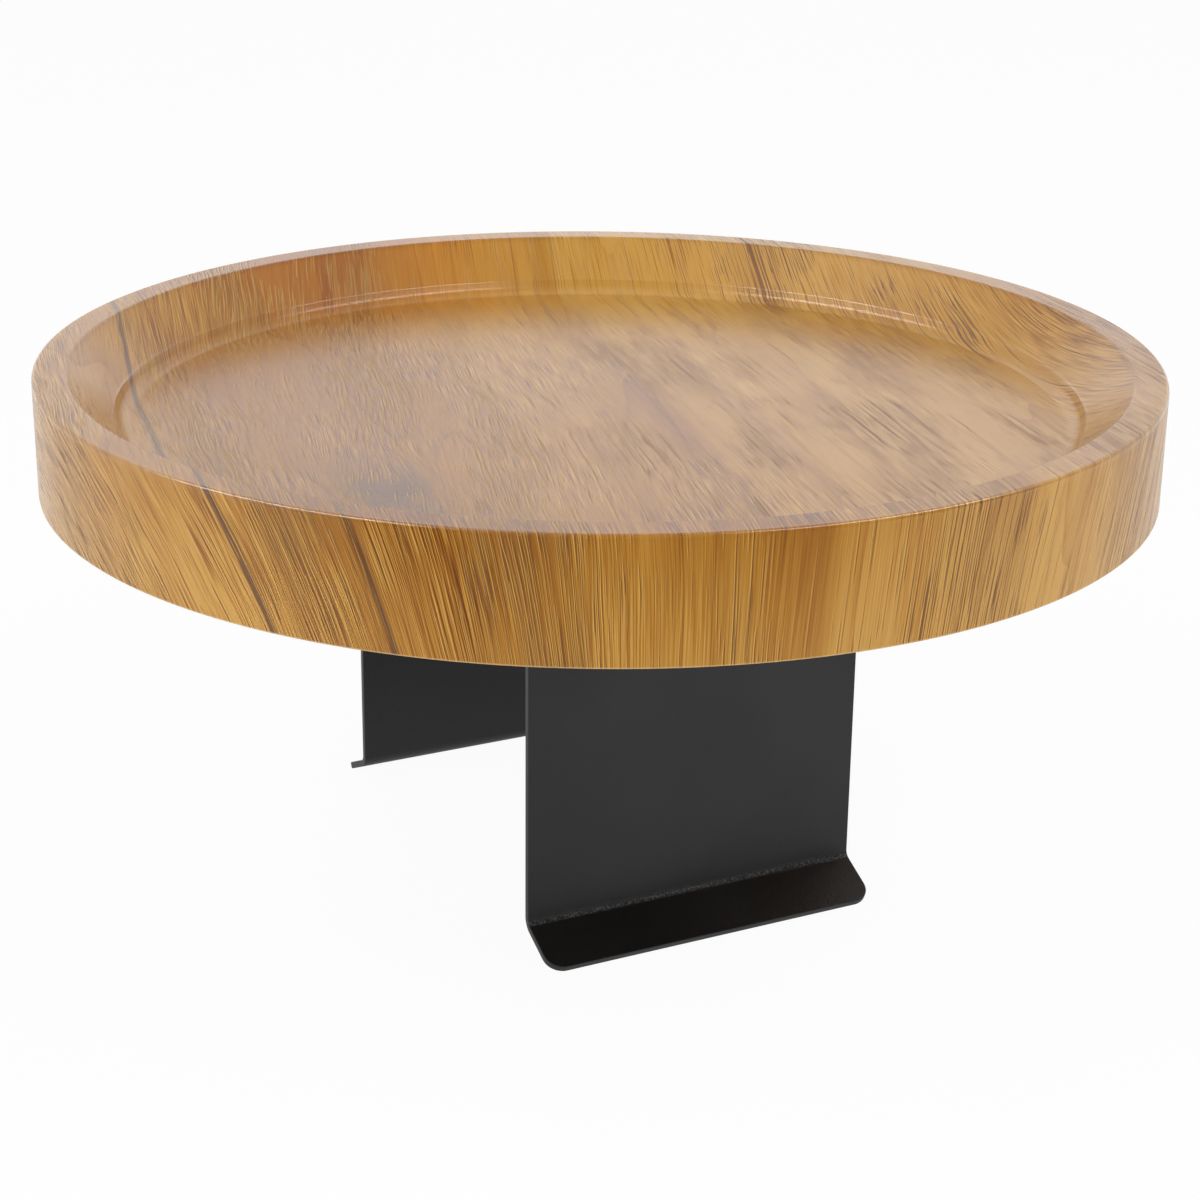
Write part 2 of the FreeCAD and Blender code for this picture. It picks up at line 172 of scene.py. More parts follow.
def lay_grain(group, film):
    """Places across and along the print, the swaying place across it, the knot and the quick sway."""
    turn = {"Vector": film, "Rotation": (0, 0, GRAIN_LEAN)}
    turned = add_node(group, "ShaderNodeMapping", turn).outputs[0]
    split = add_node(group, "ShaderNodeSeparateXYZ", {"Vector": turned})
    straight = split.outputs["X"]
    along = split.outputs["Y"]

    # The grain leans further just left of the middle
    zone_rise = remap(group, straight, LEAN_LEFT, LEAN_MOST)
    zone_fall = remap(group, straight, LEAN_MOST, LEAN_RIGHT, 1, 0)
    zone = calculate(group, "MULTIPLY", zone_rise, zone_fall)
    lean = calculate(group, "MULTIPLY", calculate(group, "MULTIPLY", zone, along), -EXTRA_LEAN)
    across = calculate(group, "ADD", straight, lean)

    # It parts round the knot
    knot_across = calculate(group, "SUBTRACT", straight, KNOT_PLACE[0])
    knot_along = calculate(group, "SUBTRACT", along, KNOT_PLACE[1])
    knot_x = calculate(group, "DIVIDE", knot_across, KNOT_REACH[0])
    knot_y = calculate(group, "DIVIDE", knot_along, KNOT_REACH[1])
    square_y = calculate(group, "MULTIPLY", knot_y, knot_y)
    away = calculate(group, "SQRT", calculate(group, "MULTIPLY_ADD", knot_x, knot_x, square_y))
    knot = remap(group, away, *KNOT_FADE, 1, 0)
    bulge = calculate(group, "MULTIPLY", calculate(group, "MULTIPLY", knot, knot_across), -KNOT_PARTING)
    sway = calculate(group, "ADD", across, bulge)

    # It sways slowly all over, and quickly most on the left
    slow = centred_noise(group, turned, **SLOW_SWAY_NOISE)
    quick = centred_noise(group, turned, **QUICK_SWAY_NOISE)
    unrest = remap(group, straight, *QUICK_SWAY_ENDS, QUICK_SWAY_LEFT, QUICK_SWAY_RIGHT)
    sway = calculate(group, "MULTIPLY_ADD", slow, SLOW_SWAY, sway)
    sway = calculate(group, "MULTIPLY_ADD", quick, unrest, sway)
    return straight, along, sway, knot, quick


# Tones of the figure, from 0, dark, to 1, pale: broad bands by their place across the print, growth rings
# that darken to a sharp edge, and soft streaks
BAND_REACH = 0.15
BAND_TONES = (
    (-0.15, 0.62), (-0.123, 0.6), (-0.108, 0.42), (-0.084, 0.4), (-0.065, 0.34), (-0.048, 0.43),
    (-0.018, 0.56), (0.006, 0.54), (0.0165, 0.4), (0.021, 0.64), (0.0285, 0.66), (0.036, 0.56),
    (0.042, 0.74), (0.057, 0.64), (0.075, 0.76), (0.093, 0.68), (0.12, 0.7), (0.15, 0.6),
)
RINGS_PER_METRE = 40
RING_WANDER = 11
RING_WANDER_NOISE = {"scale": (16, 1.6, 1), "detail": 2}
RING_SHARPNESS = 12
RING_DARKENING = 0.18
STREAK_DEPTH = 0.18
STREAK_NOISE = {"scale": (220, 14, 1), "detail": 3}
DRIFT_DEPTH = 0.2
DRIFT_NOISE = {"scale": (20, 6, 1), "detail": 3, "shift": (5, 5, 0)}


def band_tone(group, sway, grain):
    """Tone of the bands, rings and streaks."""
    place = remap_line(group, sway, -BAND_REACH, BAND_REACH)
    stops = [((where / BAND_REACH + 1) / 2, (tone, tone, tone, 1)) for where, tone in BAND_TONES]
    bands = colour_ramp(group, place, stops, "EASE")
    wander = stretched_noise(group, grain, **RING_WANDER_NOISE)
    even_rings = calculate(group, "MULTIPLY", sway, RINGS_PER_METRE)
    rings = calculate(group, "MULTIPLY_ADD", wander, RING_WANDER, even_rings)
    late = calculate(group, "POWER", calculate(group, "FRACT", rings), RING_SHARPNESS)
    streaks = centred_noise(group, grain, **STREAK_NOISE)
    drift = centred_noise(group, grain, **DRIFT_NOISE)
    tone = calculate(group, "MULTIPLY_ADD", late, -RING_DARKENING, bands)
    tone = calculate(group, "MULTIPLY_ADD", streaks, STREAK_DEPTH, tone)
    return calculate(group, "MULTIPLY_ADD", drift, DRIFT_DEPTH, tone)


# Fine fibres, deepest on the left of the side, with quiet patches
FIBRE_NOISE = {"scale": (3300, 60, 1), "detail": 1, "shift": (7, 3, 0)}
FIBRE_DEPTH_FLOOR = 1.3
FIBRE_DEPTH_LEFT = 1.9
FIBRE_DEPTH_RIGHT = 0.7
FIBRE_DEPTH_ENDS = (-0.075, -0.03)
FIBRE_HEIGHT_SHARE = 0.4
QUIET_NOISE = {"scale": (30, 12, 1), "detail": 2, "shift": (3, 1, 0)}
QUIET_ENDS = (0.38, 0.6)
QUIET_DEPTHS = (0.25, 1.2)


def fibre_depth(group, straight, grain, on_side):
    """How far the fibres change the tone."""
    side_depth = remap(group, straight, *FIBRE_DEPTH_ENDS, FIBRE_DEPTH_LEFT, FIBRE_DEPTH_RIGHT)
    deeper = calculate(group, "SUBTRACT", side_depth, FIBRE_DEPTH_FLOOR)
    depth = calculate(group, "MULTIPLY_ADD", on_side, deeper, FIBRE_DEPTH_FLOOR)
    quiet = stretched_noise(group, grain, **QUIET_NOISE)
    return calculate(group, "MULTIPLY", depth, remap(group, quiet, *QUIET_ENDS, *QUIET_DEPTHS))


# Painted light: the tone is lifted at the back of the tray. The tone is also paler down the side and darker
# on the rim. The rim and the side are known by their reach, which is the distance from the print's middle
BACK_PAINTED_LIGHT = 0.24
BACK_PAINTED_LIGHT_ENDS = (0.045, 0.12)
SIDE_ENDS = (0.147, 0.151)
SIDE_LIFT = 0.16
SIDE_LIFT_ENDS = (0.15, 0.167)
RIM_ENDS = (0.1395, 0.1415)
RIM_DROP = 0.14


def lift_edges(group, tone, along, reach, off_side):
    """Tone with painted light at the back, paler down the side, and dropped on the rim."""
    # Painted light: the back of the tray is made paler
    tone = calculate(group, "ADD", tone, remap(group, along, *BACK_PAINTED_LIGHT_ENDS, 0, BACK_PAINTED_LIGHT))
    down_side = remap_line(group, reach, *SIDE_LIFT_ENDS)
    tone = calculate(group, "MULTIPLY_ADD", down_side, SIDE_LIFT, tone)
    on_rim = calculate(group, "MULTIPLY", remap(group, reach, *RIM_ENDS), off_side)
    return calculate(group, "MULTIPLY_ADD", on_rim, -RIM_DROP, tone)


# Smoky patches, the brown of the knot, and a redder back on the left
CLOUD_NOISE = {"scale": (42, 12, 1), "detail": 4, "shift": (2, 8, 0)}
SMOKE_BROWN = (0.225, 0.09, 0.02, 1)
SMOKE_ENDS = (0.48, 0.7)
SMOKE_MOST = 0.5
SMOKE_RIGHT = 0.35
SMOKE_RIGHT_ENDS = (-0.06, 0.01)
SMOKE_FAR_LEFT = 0.3
SMOKE_FAR_LEFT_ENDS = (-0.135, -0.1)
KNOT_BROWN = (0.13, 0.055, 0.022, 1)
KNOT_NOISE = {"scale": (90, 40, 1), "detail": 3}
KNOT_CLOUD_ENDS = (0.3, 0.62)
KNOT_LEAST = 0.15
BACK_RED = (0.92, 0.72, 0.3, 1)
BACK_RED_ALONG = (0.09, 0.12)
BACK_RED_ACROSS = (-0.015, 0.025)


def tint_wood(group, colour, straight, along, grain, clouds, knot):
    """Colour with its smoke, its knot and its red."""
    smoke = remap(group, clouds, *SMOKE_ENDS, 0, SMOKE_MOST)
    right = remap(group, straight, *SMOKE_RIGHT_ENDS, 1, SMOKE_RIGHT)
    smoke = calculate(group, "MULTIPLY", smoke, right)
    far_left = remap(group, straight, *SMOKE_FAR_LEFT_ENDS, SMOKE_FAR_LEFT, 1)
    smoke = calculate(group, "MULTIPLY", smoke, far_left)
    knot_clouds = stretched_noise(group, grain, **KNOT_NOISE)
    knot_smoke = remap(group, knot_clouds, *KNOT_CLOUD_ENDS, KNOT_LEAST, 1)
    knot_smoke = calculate(group, "MULTIPLY", knot, knot_smoke)
    back = remap(group, along, *BACK_RED_ALONG)
    red = calculate(group, "MULTIPLY", back, remap(group, straight, *BACK_RED_ACROSS, 1, 0))
    colour = mix_colours(group, smoke, colour, SMOKE_BROWN)
    colour = mix_colours(group, knot_smoke, colour, KNOT_BROWN)
    return mix_colours(group, red, colour, BACK_RED, "MULTIPLY")


# One dark line runs the length of the print on the left, and one shows only at the front.
# Each is a place across the print and a width
LINE_BROWN = (0.1, 0.035, 0.01, 1)
LINE_SHARE = 0.85
LINE_CORE = 0.3
LONG_LINE = (-0.1201, 0.0012)
SIDE_LINE = (-0.0935, 0.0011)
SIDE_LINE_ENDS = (-0.112, -0.1)


def line_mask(group, wavy, place, width):
    """Mask of one soft line along the grain."""
    off = calculate(group, "ABSOLUTE", calculate(group, "SUBTRACT", wavy, place))
    return remap(group, off, width * LINE_CORE, width, 1, 0)


def draw_lines(group, colour, straight, along, quick):
    """Colour with the two dark lines."""
    wavy = calculate(group, "MULTIPLY_ADD", quick, QUICK_SWAY_RIGHT, straight)
    long_line = calculate(group, "MULTIPLY", line_mask(group, wavy, *LONG_LINE), LINE_SHARE)
    front = remap(group, along, *SIDE_LINE_ENDS, LINE_SHARE, 0)
    side_line = calculate(group, "MULTIPLY", front, line_mask(group, wavy, *SIDE_LINE))
    colour = mix_colours(group, long_line, colour, LINE_BROWN)
    return mix_colours(group, side_line, colour, LINE_BROWN)


# Pores are dark grooves that crowd in the smoky patches, each with a pale painted glint beside it, strongest
# on the left. The short ones are mostly on the left and the long ones on the right. On the left they are
# fainter off the side
PORE_DARK = (0.16, 0.055, 0.005, 1)
PAINTED_PORE_GLINT = (0.68, 0.4, 0.08, 1)
PORE_EDGE = 0.66
PORE_SOFTNESS = 0.035
CROWD_ENDS = (0.38, 0.62)
CROWD_RANGE = (-0.08, 0.05)
CROWD_FAR_LEFT = -0.03
CROWD_FAR_LEFT_ENDS = (-0.13, -0.11)
SHORT_PORE_NOISE = {"scale": (3000, 75, 1), "detail": 1, "shift": (4, 6, 0)}
SHORT_PORE_ENDS = (-0.075, 0.0)
SHORT_PORE_CROWD = (0.045, -0.02)
LONG_PORE_NOISE = {"scale": (2400, 14, 1), "detail": 1}
LONG_PORE_ENDS = (-0.05, 0.03)
LONG_PORE_CROWD = (-0.03, 0.02)
GLINT_SHIFT = 0.00025
GLINT_SHARE_LEFT = 0.5
GLINT_SHARE_RIGHT = 0.15
GLINT_SHARE_ENDS = (-0.02, 0.06)
PORE_SHARE = 0.95
PORE_SHARE_LOST = 0.5
PORE_SHARE_LOST_ENDS = (-0.06, 0.02)


def pore_lines(group, grain, crowd, noise):
    """Thin dashes along the grain, more of them where the crowd value is high."""
    dashes = calculate(group, "ADD", stretched_noise(group, grain, **noise), crowd)
    return remap(group, dashes, PORE_EDGE, PORE_EDGE + PORE_SOFTNESS)


def cut_pores(group, colour, straight, grain, clouds, off_side):
    """Colour with its pores and the painted glints beside them, and the pores' mask."""
    crowd = remap(group, clouds, *CROWD_ENDS, *CROWD_RANGE)
    far_left = remap(group, straight, *CROWD_FAR_LEFT_ENDS, CROWD_FAR_LEFT, 0)
    crowd = calculate(group, "ADD", crowd, far_left)
    short_crowd = remap(group, straight, *SHORT_PORE_ENDS, *SHORT_PORE_CROWD)
    short_crowd = calculate(group, "ADD", crowd, short_crowd)
    long_crowd = remap(group, straight, *LONG_PORE_ENDS, *LONG_PORE_CROWD)
    long_crowd = calculate(group, "ADD", crowd, long_crowd)
    step_aside = {"Vector": grain, "Location": (GLINT_SHIFT, 0, 0)}
    beside = add_node(group, "ShaderNodeMapping", step_aside).outputs[0]
    masks = []
    for vector in (beside, grain):
        long_pores = pore_lines(group, vector, long_crowd, LONG_PORE_NOISE)
        short_pores = pore_lines(group, vector, short_crowd, SHORT_PORE_NOISE)
        masks.append(calculate(group, "MAXIMUM", long_pores, short_pores))
    edges, pores = masks
    # Painted glints: pale lines just beside the pores, strongest on the left
    glint_share = remap(group, straight, *GLINT_SHARE_ENDS, GLINT_SHARE_LEFT, GLINT_SHARE_RIGHT)
    painted_glint = calculate(group, "MULTIPLY", edges, glint_share)
    lost = remap(group, straight, *PORE_SHARE_LOST_ENDS, PORE_SHARE_LOST, 0)
    lost = calculate(group, "MULTIPLY", lost, off_side)
    dark = calculate(group, "MULTIPLY", pores, calculate(group, "SUBTRACT", PORE_SHARE, lost))
    colour = mix_colours(group, painted_glint, colour, PAINTED_PORE_GLINT)
    return mix_colours(group, dark, colour, PORE_DARK), pores


# Colours of the tones
WOOD_TONES = (
    (0.1, (0.14, 0.038, 0.002, 1)), (0.32, (0.25, 0.086, 0.005, 1)), (0.48, (0.335, 0.134, 0.01, 1)),
    (0.64, (0.42, 0.195, 0.022, 1)), (0.85, (0.53, 0.285, 0.055, 1)),
)


def make_wood_print():
    """Printed teak figure, read from a flat film in metres: its colour, its pores and their height."""
    group = bpy.data.node_groups.new("wood_print", "ShaderNodeTree")
    group.interface.new_socket("Film", in_out="INPUT", socket_type="NodeSocketVector")
    group.interface.new_socket("Colour", in_out="OUTPUT", socket_type="NodeSocketColor")
    group.interface.new_socket("Pores", in_out="OUTPUT", socket_type="NodeSocketFloat")
    group.interface.new_socket("Height", in_out="OUTPUT", socket_type="NodeSocketFloat")
    film = add_node(group, "NodeGroupInput").outputs["Film"]
    ends = add_node(group, "NodeGroupOutput")

    straight, along, sway, knot, quick = lay_grain(group, film)
    grain = add_node(group, "ShaderNodeCombineXYZ", {"X": sway, "Y": along}).outputs[0]
    fibres = centred_noise(group, grain, **FIBRE_NOISE)
    clouds = stretched_noise(group, grain, **CLOUD_NOISE)
    reach = add_node(group, "ShaderNodeVectorMath", {0: film}, operation="LENGTH").outputs["Value"]
    on_side = remap(group, reach, *SIDE_ENDS)
    off_side = calculate(group, "SUBTRACT", 1, on_side)

    tone = band_tone(group, sway, grain)
    depth = fibre_depth(group, straight, grain, on_side)
    tone = calculate(group, "MULTIPLY_ADD", fibres, depth, tone)
    tone = lift_edges(group, tone, along, reach, off_side)
    colour = colour_ramp(group, tone, WOOD_TONES)
    colour = tint_wood(group, colour, straight, along, grain, clouds, knot)
    colour = draw_lines(group, colour, straight, along, quick)
    colour, pores = cut_pores(group, colour, straight, grain, clouds, off_side)
    smooth = calculate(group, "SUBTRACT", 1, pores)
    height = calculate(group, "MULTIPLY_ADD", fibres, FIBRE_HEIGHT_SHARE, smooth)
    group.links.new(colour, ends.inputs["Colour"])
    group.links.new(pores, ends.inputs["Pores"])
    group.links.new(height, ends.inputs["Height"])
    return group


wood_print = make_wood_print()
backing, tree, shader = new_material("backing_sheet")
place = add_node(tree, "ShaderNodeTexCoord").outputs["Object"]
flat = add_node(tree, "ShaderNodeMapping", {"Vector": place, "Scale": (1, 1, 0)}).outputs[0]
printed = add_node(tree, "ShaderNodeGroup", node_tree=wood_print)
tree.links.new(flat, printed.inputs["Film"])
tint = mix_colours(tree, BACKING_TINT_SHARE, printed.outputs["Colour"], BACKING_TINT)
tree.links.new(tint, shader.inputs["Base Color"])
tree.links.new(bump(tree, printed.outputs["Height"], BACKING_PORE_HEIGHT), shader.inputs["Normal"])
shader.inputs["Roughness"].default_value = BACKING_ROUGHNESS
dress("underside_laminate", backing)

# Threaded inserts: turned zinc alloy with barbs, pressed into blind holes in the board from below.
# The bolts screw into them, and their flanges lie flush with the backing sheet.
ZINC_PALE = (0.62, 0.6, 0.55, 1)
ZINC_DULL = (0.42, 0.4, 0.36, 1)
ZINC_CLOUD_NOISE = {"scale": (260, 260, 260), "detail": 3}
ZINC_CLOUD_ENDS = (0.3, 0.7)
ZINC_ROUGHNESS = (0.5, 0.3)
BOLT_PLACES = ("front_left", "front_right", "rear_left", "rear_right")

zinc, tree, shader = new_material("zinc_alloy")
place = add_node(tree, "ShaderNodeTexCoord").outputs["Object"]
clouds = stretched_noise(tree, place, **ZINC_CLOUD_NOISE)
tree.links.new(mix_colours(tree, clouds, ZINC_DULL, ZINC_PALE), shader.inputs["Base Color"])
tree.links.new(remap(tree, clouds, *ZINC_CLOUD_ENDS, *ZINC_ROUGHNESS), shader.inputs["Roughness"])
shader.inputs["Metallic"].default_value = 1
for place_name in BOLT_PLACES:
    dress(f"insert_{place_name}", zinc)

# Film: a half-millimetre wood-print film, drawn by vacuum over the rim, the well and the side of the board.
# The print stays flat in the well and stretches where the film is pulled down the side. The film is glossier
# where it is stretched over the edges of the rim and the ledge, and it is paler in a thin line along its
# bottom edge.
TRAY_DIAMETER = 0.3
FILM_SIDES = 256
FILM_THICKNESS = 0.0005
FILM_TRIM_ROUND = 0.0003
FILM_TRIM_STEPS = 3
RIM_WIDTH = 0.0088
WALL_RUN = 0.0117
WALL_DROP = 0.0112
STEP_RUN = 0.0022
STEP_DROP = 0.0038
RIM_OUTER_ROUND = 0.001
RIM_INNER_ROUND = 0.0014
LEDGE_ROUND = 0.001
COVE_ROUND = 0.0045
ROUND_STEPS = 6
PLACE_SLACK = 0.00001
SMOOTH_ANGLE = math.radians(35)
PRINT_PER_SIDE_DEPTH = 0.55
FILM_GLOSS = 0.05
FILM_GLOSS_ROUGHNESS = 0.14
RIM_GLOSS = 0.6
RIM_GLOSS_REACH = 0.0009
LEDGE_GLOSS = 0.4
LEDGE_GLOSS_REACH = 0.0005
BOTTOM_LINE_PALE = (0.66, 0.47, 0.25, 1)
BOTTOM_LINE_SHARE = 0.45
BOTTOM_LINE_WIDTH = 0.0003
FILM_ROUGHNESS = 0.27
PORE_ROUGHNESS = 0.4
FILM_PORE_HEIGHT = 0.00002


def name_new(name):
    """Name the object that an operator has just made, and its mesh."""
    piece = bpy.context.object
    piece.name = name
    piece.data.name = name
    return piece


def near(value, wanted):
    """True where a measure is the wanted one, to a hundredth of a millimetre."""
    return math.isclose(value, wanted, abs_tol=PLACE_SLACK)


def pick(piece, test, kind="EDGE"):
    """In edit mode, select only the edges or vertices whose ends all pass the test."""
    bpy.ops.mesh.select_mode(type=kind)
    bpy.ops.mesh.select_all(action="DESELECT")
    mesh = bmesh.from_edit_mesh(piece.data)
    if kind == "EDGE":
        for edge in mesh.edges:
            edge.select_set(all(test(vertex.co) for vertex in edge.verts))
    else:
        for vertex in mesh.verts:
            vertex.select_set(test(vertex.co))
    bmesh.update_edit_mesh(piece.data)


def apply_modifier(piece, kind, **settings):
    """Add one modifier with its settings and apply it."""
    bpy.ops.object.modifier_add(type=kind)
    modifier = piece.modifiers[-1]
    for name, value in settings.items():
        setattr(modifier, name, value)
    bpy.ops.object.modifier_apply(modifier=modifier.name)


def smooth_faces(piece):
    """Shade rounds smooth and keep the flats between them flat."""
    bpy.ops.object.shade_smooth_by_angle(angle=SMOOTH_ANGLE)
    apply_modifier(piece, "WEIGHTED_NORMAL", keep_sharp=True)


# The film's profile, from the cut edge up the side, over the rim and down to the floor: radius and height
film_low, film_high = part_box("tray_foil")
underside = film_low.z
rim = film_high.z
tray_radius = TRAY_DIAMETER / 2
rim_inner_radius = tray_radius - RIM_WIDTH
ledge_radius = rim_inner_radius - WALL_RUN
floor_radius = ledge_radius - STEP_RUN
rings = [
    Vector((tray_radius, underside)),
    Vector((tray_radius, rim)),
    Vector((rim_inner_radius, rim)),
    Vector((ledge_radius, rim - WALL_DROP)),
    Vector((floor_radius, rim - WALL_DROP - STEP_DROP)),
]
rounds = [0, RIM_OUTER_ROUND, RIM_INNER_ROUND, LEDGE_ROUND, COVE_ROUND]

bpy.ops.object.select_all(action="DESELECT")
bpy.ops.mesh.primitive_circle_add(vertices=FILM_SIDES, radius=tray_radius, location=(0, 0, underside))
film = name_new("wood_film")
bpy.ops.object.transform_apply(location=True, rotation=False, scale=False)
bpy.ops.object.mode_set(mode="EDIT")
for last, ring in zip(rings, rings[1:]):
    bpy.ops.mesh.extrude_edges_move(TRANSFORM_OT_translate={"value": (0, 0, ring.y - last.y)})
    share = ring.x / last.x
    bpy.ops.transform.resize(value=(share, share, 1), center_override=(0, 0, ring.y))
bpy.ops.mesh.edge_face_add()
bpy.ops.mesh.select_all(action="SELECT")
bpy.ops.mesh.normals_make_consistent(inside=False)
for index, (ring, radius) in enumerate(zip(rings, rounds)):
    if not radius:
        continue
    # The last ring turns into the level floor
    after = rings[index + 1] - ring if index + 1 < len(rings) else Vector((-1, 0))
    turn = abs((ring - rings[index - 1]).angle_signed(after))
    pick(film, lambda co: near(co.z, ring.y) and near(co.xy.length, ring.x))
    bpy.ops.mesh.bevel(offset=radius * math.tan(turn / 2), segments=ROUND_STEPS, clamp_overlap=False)
bpy.ops.object.mode_set(mode="OBJECT")
top_face = max(film.data.polygons, key=lambda face: face.area)
if top_face.normal.z < 0:
    film.data.flip_normals()
apply_modifier(film, "SOLIDIFY", thickness=FILM_THICKNESS, offset=-1, use_even_offset=True)
trim_radius = tray_radius - FILM_THICKNESS / 2
bpy.ops.object.mode_set(mode="EDIT")
pick(film, lambda co: co.z < underside + FILM_THICKNESS / 2 and co.xy.length > trim_radius)
bpy.ops.mesh.bevel(offset=FILM_TRIM_ROUND, segments=FILM_TRIM_STEPS, clamp_overlap=False)
bpy.ops.object.mode_set(mode="OBJECT")
smooth_faces(film)

# The print's map: seen from above in the well and on the rim, and spread outwards by a share of the depth
# down the side
film_map = film.data.uv_layers.new(name="flat_film")
for loop in film.data.loops:
    co = film.data.vertices[loop.vertex_index].co
    spread = 1
    if co.xy.length > rim_inner_radius:
        spread += PRINT_PER_SIDE_DEPTH * (rim - co.z) / co.xy.length
    film_map.data[loop.index].uv = co.xy * spread

teak, tree, shader = new_material("wood_film")
flat = add_node(tree, "ShaderNodeUVMap", uv_map="flat_film").outputs[0]
printed = add_node(tree, "ShaderNodeGroup", node_tree=wood_print)
tree.links.new(flat, printed.inputs["Film"])
reach = add_node(tree, "ShaderNodeVectorMath", {0: flat}, operation="LENGTH").outputs["Value"]
# The colour turns paler in a thin line along the film's bottom edge
cut_reach = tray_radius + PRINT_PER_SIDE_DEPTH * (rim - underside)
bottom_line_ends = (cut_reach - BOTTOM_LINE_WIDTH, cut_reach - BOTTOM_LINE_WIDTH / 2)
bottom_line = remap(tree, reach, *bottom_line_ends, 0, BOTTOM_LINE_SHARE)
colour = mix_colours(tree, bottom_line, printed.outputs["Colour"], BOTTOM_LINE_PALE)
tree.links.new(colour, shader.inputs["Base Color"])
roughness = remap(tree, printed.outputs["Pores"], 0, 1, FILM_ROUGHNESS, PORE_ROUGHNESS)
tree.links.new(roughness, shader.inputs["Roughness"])
tree.links.new(bump(tree, printed.outputs["Height"], FILM_PORE_HEIGHT), shader.inputs["Normal"])
glosses = []
for radius, width, most in (
    (tray_radius, RIM_GLOSS_REACH, RIM_GLOSS),
    (ledge_radius, LEDGE_GLOSS_REACH, LEDGE_GLOSS),
):
    off = calculate(tree, "ABSOLUTE", calculate(tree, "SUBTRACT", reach, radius))
    glosses.append(remap(tree, off, width / 2, width, most, FILM_GLOSS))
tree.links.new(calculate(tree, "MAXIMUM", *glosses), shader.inputs["Coat Weight"])
shader.inputs["Coat Roughness"].default_value = FILM_GLOSS_ROUGHNESS
film.data.materials.append(teak)
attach(film, "tray")
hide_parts("tray_foil")

# Brackets: two strips of 2 mm sheet steel, bent to a slotted top flange, an upright plate and a flared foot.
# They are powder-coated satin black, with grey specks painted in the bend above the foot as its sparkling
# highlight, and slide outwards under the tray until their bolts are tightened.
STEEL_THICKNESS = 0.002
BEND_ROUND = 0.004
LIP_RUN = 0.014
LIP_DROP = 0.0067
LIP_CORNER_ROUND = 0.005
FLANGE_CORNER_ROUND = 0.006
CORNER_STEPS = 8
SLOT_RADIUS = 0.0033
SLOT_TRAVEL = 0.028
SLOT_SIDES = 32
SLOT_CUT_DEPTH = 0.008
BOLT_PITCH = 0.06
EDGE_ROUND = 0.0003
EDGE_STEPS = 2
EDGE_ANGLE = math.radians(40)
COAT_BLACK = (0.006, 0.006, 0.0063, 1)
COAT_GREY = (0.011, 0.011, 0.011, 1)
COAT_SPECULAR = 0.49
COAT_GRAIN_NOISE = {"scale": (1500, 1500, 1500), "detail": 3}
COAT_GRAIN_HEIGHT = 0.00005
COAT_DRIFT_NOISE = {"scale": (30, 30, 30), "detail": 3}
COAT_DRIFT_ENDS = (0.3, 0.7)
COAT_ROUGHNESS = (0.36, 0.46)
SPARKLE_GREY = (0.07, 0.07, 0.07, 1)
SPECKLE_NOISE = {"scale": (2200, 2200, 2200), "detail": 1}
SPECKLE_ENDS = (0.4, 0.65)
BEND_SPARKLE_LOW = (0.0007, 0.0011)
BEND_SPARKLE_HIGH = (0.0015, 0.0024)
BEND_SPARKLE_OUT = (0.0008, 0.0013)

bracket_low, bracket_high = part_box("bracket_rear")
bolt_low, bolt_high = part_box("clamp_bolt_rear_right")
bracket_width = bracket_high.x - bracket_low.x
plate_inner = bracket_low.y
flange_end = bracket_high.y
lip_slope = math.atan2(LIP_DROP, LIP_RUN)
lip_end = plate_inner + STEEL_THICKNESS + LIP_RUN
sole_end = lip_end - STEEL_THICKNESS * math.sin(lip_slope)
heel = (sole_end - plate_inner) * math.tan(lip_slope)
heel_turn = math.pi / 2 - lip_slope
bolt_y = (bolt_low.y + bolt_high.y) / 2
plate_place = (0, plate_inner, (underside + heel) / 2)

bpy.ops.object.select_all(action="DESELECT")
bpy.ops.mesh.primitive_plane_add(size=1, location=plate_place, rotation=(math.pi / 2, 0, 0))
rear_bracket = name_new("rear_bracket_plate")
rear_bracket.scale = (bracket_width, underside - heel, 1)
bpy.ops.object.transform_apply(location=True, rotation=True, scale=True)
bpy.ops.object.mode_set(mode="EDIT")
pick(rear_bracket, lambda co: near(co.z, underside))
bpy.ops.mesh.extrude_edges_move(TRANSFORM_OT_translate={"value": (0, flange_end - plate_inner, 0)})
pick(rear_bracket, lambda co: near(co.z, heel))
bpy.ops.mesh.extrude_edges_move(TRANSFORM_OT_translate={"value": (0, sole_end - plate_inner, -heel)})
bpy.ops.mesh.select_all(action="SELECT")
bpy.ops.mesh.normals_make_consistent(inside=False)
for height, turn in ((underside, math.pi / 2), (heel, heel_turn)):
    pick(rear_bracket, lambda co: near(co.z, height) and near(co.y, plate_inner))
    bpy.ops.mesh.bevel(offset=BEND_ROUND * math.tan(turn / 2), segments=CORNER_STEPS, clamp_overlap=False)
for end, radius in ((flange_end, FLANGE_CORNER_ROUND), (sole_end, LIP_CORNER_ROUND)):
    pick(rear_bracket, lambda co: near(co.y, end), "VERT")
    bpy.ops.mesh.bevel(offset=radius, segments=CORNER_STEPS, affect="VERTICES", clamp_overlap=False)
bpy.ops.object.mode_set(mode="OBJECT")
plate_face = max(rear_bracket.data.polygons, key=lambda face: abs(face.normal.y) * face.area)
if plate_face.normal.y > 0:
    rear_bracket.data.flip_normals()
apply_modifier(rear_bracket, "SOLIDIFY", thickness=STEEL_THICKNESS, offset=-1, use_even_offset=True)
